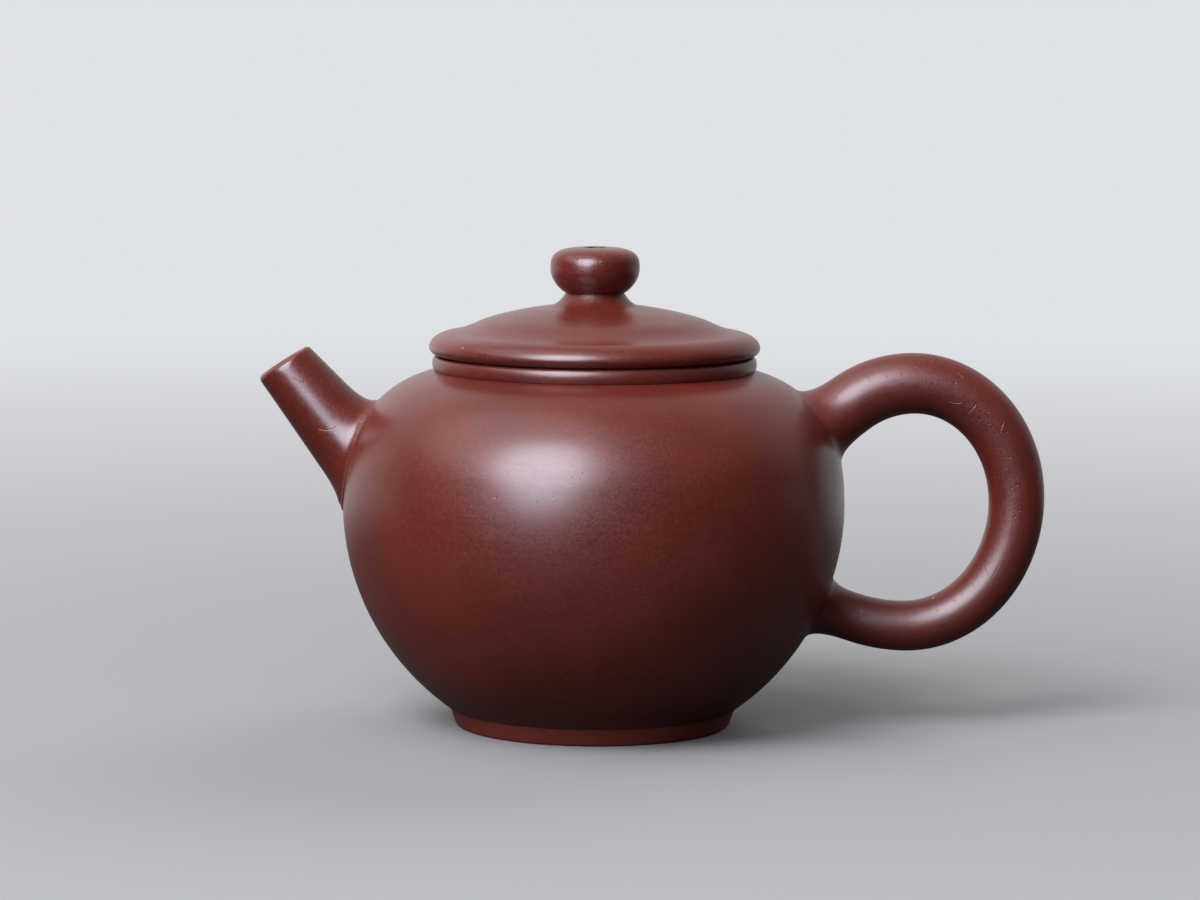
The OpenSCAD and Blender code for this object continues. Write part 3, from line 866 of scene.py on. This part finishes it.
# Lid rim
# A ring around the lid, rounded between finger and thumb and smoothed with a damp strip of leather. A
# small cove leads from it up to the dome.
lid_r = 25.35
rim_h = 3.6
rim_w = 4.7
rim_waist = 1.25
rim_round = 3.8
rim_under = 1.9
cove_h = 0.6
lid_t = 2.2
dome_r = lid_r - rim_w
rim_top = seat + rim_h
dome_edge = rim_top + cove_h
shelf = dome_edge - lid_t
dome_rise = 3.8
dome_top = dome_edge + dome_rise
dome_bow = (dome_r ** 2 + dome_rise ** 2) / (2 * dome_rise)
dome_mid = dome_top - dome_bow
drop_from, edge_drop = 15.8, 0.65
cove_from = 76
cove_end = 18.2
cove_lap, cove_dip = 0.4, 0.008
rim_inner = 19.0
under_rim = 21.4


def dome_height(r):
    """The height of the dome at a radius. It falls away more steeply near its edge."""
    fallen = max(0.0, r - drop_from) / (dome_r - drop_from)
    return dome_mid + math.sqrt(dome_bow ** 2 - r ** 2) - edge_drop * fallen ** 2


def hollow_to(bm, last, corner, end, steps):
    """Carries an outline on in a hollow curve that leaves towards a corner and arrives from it."""
    start = last.co.xz / mm
    for step in range(1, steps + 1):
        share = step / steps
        bend = Vector(corner) * 2 * share * (1 - share)
        r, z = start * (1 - share) ** 2 + bend + Vector(end) * share ** 2
        last = line_to(bm, last, r, z)
    return last


lid_clay = fired_clay("lid_clay", *clay_tones, 0.31, way=(110.0, 110.0, 2600.0), relief=0.7)
rim = bmesh.new()
first = start_outline(rim, flange_r - flange_t, seat)
at = line_to(rim, first, under_rim, seat)
at = line_to(rim, at, lid_r - rim_under, seat)
at = oval_by(rim, at, (lid_r - rim_under, seat + rim_waist), (rim_under, rim_waist), -90, 0, 16)
roll_h = rim_h - rim_waist
at = oval_by(rim, at, (lid_r - rim_round, seat + rim_waist), (rim_round, roll_h), 0, cove_from, 20)
rim_at, cove_z = at.co.xz / mm, dome_height(cove_end)
rim_slope = roll_h / rim_round / math.tan(math.radians(cove_from))
dome_slope = (dome_height(cove_end - 0.01) - dome_height(cove_end + 0.01)) / 0.02
cove_r = (cove_z + dome_slope * cove_end - rim_at[1] - rim_slope * rim_at[0]) / (dome_slope - rim_slope)
at = hollow_to(rim, at, (cove_r, rim_at[1] + (rim_at[0] - cove_r) * rim_slope), (cove_end, cove_z), 20)
at = line_to(rim, at, cove_end - cove_lap, dome_height(cove_end - cove_lap) - cove_dip)
at = line_to(rim, at, rim_inner, rim_top - 0.3)
at = line_to(rim, at, rim_inner, shelf)
at = line_to(rim, at, flange_r - flange_t, shelf)
rim.edges.new((at, first))
turn(rim)
work_by_hand(rim, depth=0.06)
fire(
    rim, "lid_rim_ring", lid_clay, "lid", "lid_rim",
    lambda co: 1.0 if co.z < (seat + 0.05) * mm else 0.0,
)

# Lid dome
# A slab of clay pressed over a shallow form and set into the rim. An awl makes the air hole through
# its middle, which lets the tea run and stops it when a finger closes it.
air_r = 1.3
dome_steps = 44
inner_edge = flange_r - flange_t


def dome_angle(r):
    """The angle on the dome's curve at a radius."""
    return math.degrees(math.acos(r / dome_bow))


dome = bmesh.new()
at = first = start_outline(dome, dome_r, dome_height(dome_r))
for step in range(1, dome_steps + 1):
    r = dome_r + (air_r - dome_r) * step / dome_steps
    at = line_to(dome, at, r, dome_height(r))
at = line_to(dome, at, air_r, dome_height(air_r) - lid_t)
at = arc_by(dome, at, (0, dome_mid - lid_t), dome_angle(inner_edge) - dome_angle(air_r), 24)
at = line_to(dome, at, inner_edge, shelf)
at = line_to(dome, at, dome_r, shelf)
dome.edges.new((at, first))
turn(dome)
work_by_hand(dome, depth=0.06)


def under_dome(co):
    """Raw clay on the under side of the dome."""
    from_mid = math.hypot(math.hypot(co.x, co.y), co.z - dome_mid * mm)
    return 1.0 if from_mid < (dome_bow - 0.4) * mm else 0.0


def in_air_hole(co):
    """The wall of the air hole, painted dark as shade in the hole."""
    return 1.0 if math.hypot(co.x, co.y) < (air_r + 0.05) * mm else 0.0


fire(dome, "lid_dome", lid_clay, "lid", "lid_disc", under_dome, in_air_hole)

# Knob stem
# A small flared neck of clay, turned on the dome with a wet brush so that its edge runs out into it.
stem_r = 4.5
stem_edge = 7.1
stem_corner = stem_r + 1.1
stem_h = 1.6
knob_low = dome_top + stem_h
stem_low = dome_height(stem_edge) - 0.02
dome_fall = stem_edge / (dome_height(stem_edge) - dome_mid)
stem = bmesh.new()
first = start_outline(stem, air_r, stem_low - 0.2)
at = line_to(stem, first, stem_edge - 0.6, stem_low - 0.3)
at = line_to(stem, at, stem_edge, stem_low)
corner_z = stem_low + (stem_edge - stem_corner) * dome_fall
at = hollow_to(stem, at, (stem_corner, corner_z), (stem_r, knob_low), 20)
at = line_to(stem, at, air_r, knob_low)
stem.edges.new((at, first))
turn(stem)
work_by_hand(stem, depth=0.06)
fire(stem, "knob_neck", lid_clay, "lid", "knob_stem", nowhere, in_air_hole)

# Knob
# A bead of clay, full at the top and drawn in to the stem. The awl that made the air hole has left a
# small worn mouth in its top.
knob_r = 6.85
knob_h = 7.0
knob_waist = 3.7
knob_drawn_in, knob_fullness = 1.7, 0.61
mouth_of_air = 1.75
knob_mid = knob_low + knob_waist
knob = bmesh.new()
first = start_outline(knob, air_r, knob_low)
at = line_to(knob, first, stem_r - 0.05, knob_low)
for step in range(1, 21):
    angle = math.radians(90 - 90 * step / 20)
    r = stem_r + (knob_r - stem_r) * math.cos(angle) ** knob_drawn_in
    at = line_to(knob, at, r, knob_mid - knob_waist * math.sin(angle))
for step in range(1, 34):
    angle = math.radians(90 - 90 * step / 36)
    r = knob_r * math.sin(angle) ** knob_fullness
    if r < mouth_of_air + 0.3:
        break
    at = line_to(knob, at, r, knob_mid + (knob_h - knob_waist) * math.cos(angle) ** knob_fullness)
at = line_to(knob, at, mouth_of_air, knob_low + knob_h - 0.12)
at = line_to(knob, at, air_r + 0.12, knob_low + knob_h - 0.6)
at = line_to(knob, at, air_r, knob_low + knob_h - 1.2)
knob.edges.new((at, first))
turn(knob)
work_by_hand(knob, depth=0.06, spread=6.0)
knob_clay = fired_clay("knob_clay", *clay_tones, 0.28, way=(110.0, 110.0, 2600.0), relief=1.7, use=0.8)
# The mouth of the air hole in the knob's top is painted dark as shade in the hole.
fire(
    knob, "knob_bead", knob_clay, "lid", "knob", nowhere,
    lambda co: 1.0 if math.hypot(co.x, co.y) < (mouth_of_air - 0.02) * mm else 0.0,
)

# Floor
# A plain pale sheet, matte, that runs out into the pale room behind it, darkened towards the pot with
# painted shade. What the burnished clay mirrors of it is dim near the pot and bright towards the wall
# at the back.
floor_shape = bmesh.new()
bmesh.ops.create_circle(floor_shape, cap_ends=True, segments=96, radius=40.0)
floor_mesh = bpy.data.meshes.new("floor")
floor_shape.to_mesh(floor_mesh)
floor_shape.free()
floor = bpy.data.objects.new("floor", floor_mesh)
bpy.context.scene.collection.objects.link(floor)

room = (0.74, 0.755, 0.775, 1)
window_side, far_side = (0.98, 0.99, 1.0, 1), (0.52, 0.53, 0.545, 1)
shaded_paper, far_paper = (0.29, 0.293, 0.299, 1), (0.36, 0.364, 0.372, 1)
floor_paint = bpy.data.materials.new("pale_floor")
floor_paint.use_nodes = True
tree = floor_paint.node_tree
tree.nodes.clear()
rays = add(tree, "ShaderNodeLightPath").outputs
spot = add(tree, "ShaderNodeTexCoord").outputs["Object"]
away = add(tree, "ShaderNodeVectorMath", {0: spot}, operation="LENGTH")
# Painted shade: the paper that the camera sees is darker close to the pot.
paper = blend(tree, ramp(tree, away.outputs["Value"], 0.03, 0.4), shaded_paper, far_paper)
mirrored = sum_up(tree, "MAXIMUM", rays["Is Glossy Ray"], rays["Is Transmission Ray"])
dim_paper = blend(tree, mirrored, (0.04, 0.04, 0.04, 1), (0.06, 0.06, 0.061, 1))
seen_paper = blend(tree, rays["Is Camera Ray"], dim_paper, paper)
near = add(tree, "ShaderNodeBsdfPrincipled", {"Base Color": seen_paper})
near.inputs["Roughness"].default_value = 0.7
near.inputs["Specular IOR Level"].default_value = 0.0
side = add(tree, "ShaderNodeSeparateXYZ", {0: spot}).outputs
back = ramp(tree, side["Y"], 0.0, 0.3)
wall_seen = blend(tree, ramp(tree, side["X"], -0.6, 0.6), window_side, far_side)
dim_room = blend(tree, times(tree, mirrored, back), (0.02, 0.02, 0.02, 1), wall_seen)
far = add(tree, "ShaderNodeEmission", {"Color": blend(tree, rays["Is Camera Ray"], dim_room, room)})
seen_far = ramp(tree, away.outputs["Value"], 0.12, 0.75)
mirrored_far = times(tree, mirrored, ramp(tree, away.outputs["Value"], 0.05, 0.35))
paint = add(tree, "ShaderNodeMixShader", {0: sum_up(tree, "MAXIMUM", seen_far, mirrored_far)})
tree.links.new(near.outputs[0], paint.inputs[1])
tree.links.new(far.outputs[0], paint.inputs[2])
add(tree, "ShaderNodeOutputMaterial", {"Surface": paint.outputs[0]})
floor_mesh.materials.append(floor_paint)

# Room
# Pale walls around the table, lighter on the window's side. The clay is lit by them only softly, and
# mirrors the wall behind the pot along its edges.
world = bpy.data.worlds.new("studio")
bpy.context.scene.world = world
world.use_nodes = True
tree = world.node_tree
tree.nodes.clear()
rays = add(tree, "ShaderNodeLightPath").outputs
way = add(tree, "ShaderNodeSeparateXYZ", {0: add(tree, "ShaderNodeTexCoord").outputs["Generated"]})
ceiling = blend(tree, ramp(tree, way.outputs["Z"], 0.0, 0.9), (0.02, 0.02, 0.022, 1), (0.3, 0.3, 0.305, 1))
behind = ramp(tree, way.outputs["Y"], -0.1, 0.7)
light = blend(tree, behind, ceiling, (0.42, 0.425, 0.435, 1))
wall_seen = blend(tree, ramp(tree, way.outputs["X"], -0.6, 0.6), window_side, far_side)
sheen = blend(tree, behind, ceiling, wall_seen)
mirrored = sum_up(tree, "MAXIMUM", rays["Is Glossy Ray"], rays["Is Transmission Ray"])
air = blend(tree, rays["Is Camera Ray"], blend(tree, mirrored, light, sheen), room)
sky = add(tree, "ShaderNodeBackground", {"Color": air})
add(tree, "ShaderNodeOutputWorld", {"Surface": sky.outputs[0]})

# Lamps
# A soft box in front on the left, with a bright cold core that shows in the burnish. A side panel and a
# top lamp hang above it on the same side, and a back fill keeps the far side from going black.
pot_middle = Vector((0, 0, 0.036))


def soft_lamp(name, place, size, brightness, colour, shines_on=("visible_diffuse", "visible_glossy")):
    """An oval lamp that faces the pot, so many times as bright as white paper."""
    lamp = bpy.data.lights.new(name, "AREA")
    lamp.shape, lamp.size, lamp.size_y = "ELLIPSE", size[0], size[1]
    oval_area = math.pi / 4 * size[0] * size[1]
    lamp.energy, lamp.color = brightness * math.pi * oval_area, colour
    stand = bpy.data.objects.new(name, lamp)
    bpy.context.scene.collection.objects.link(stand)
    stand.location = place
    stand.rotation_euler = (pot_middle - Vector(place)).to_track_quat("-Z", "Y").to_euler()
    for kind in ("visible_diffuse", "visible_glossy"):
        setattr(stand, kind, kind in shines_on)


cold, cool, plain = (0.72, 0.86, 1.0), (0.84, 0.88, 1.0), (1.0, 1.0, 1.0)
soft_lamp("front_box", (-0.5, -1.02, 0.57), (1.3, 1.15), 1.9, cool, ("visible_diffuse",))
soft_lamp("front_core", (-0.46, -0.97, 0.65), (0.94, 1.24), 18.5, cold, ("visible_glossy",))
soft_lamp("side_panel", (-0.72, -0.42, 1.2), (1.9, 1.9), 1.75, plain)
soft_lamp("top_lamp", (-0.62, -0.8, 1.06), (0.9, 0.9), 8.6, plain, ("visible_diffuse",))
soft_lamp("back_fill", (0.75, 1.0, 0.75), (1.2, 1.2), 3.0, plain, ("visible_diffuse",))

# Camera
# It looks at the pot from the front, a little from above, with the spout on the left and the handle on
# the right.
down_tilt, roll = 6.28, 0.33
sight = bpy.data.cameras.new("camera")
sight.sensor_fit, sight.sensor_width = "HORIZONTAL", 36.0
sight.lens = 36.0 * 4152 / 1200
sight.clip_start, sight.clip_end = 0.01, 100.0
camera = bpy.data.objects.new("camera", sight)
bpy.context.scene.collection.objects.link(camera)
camera.matrix_world = (
    Matrix.Translation((0.00091, -0.633, 0.112))
    @ Matrix.Rotation(math.radians(90 - down_tilt), 4, "X")
    @ Matrix.Rotation(math.radians(roll), 4, "Z")
)
bpy.context.scene.camera = camera
bpy.context.scene.view_settings.view_transform = "Standard"
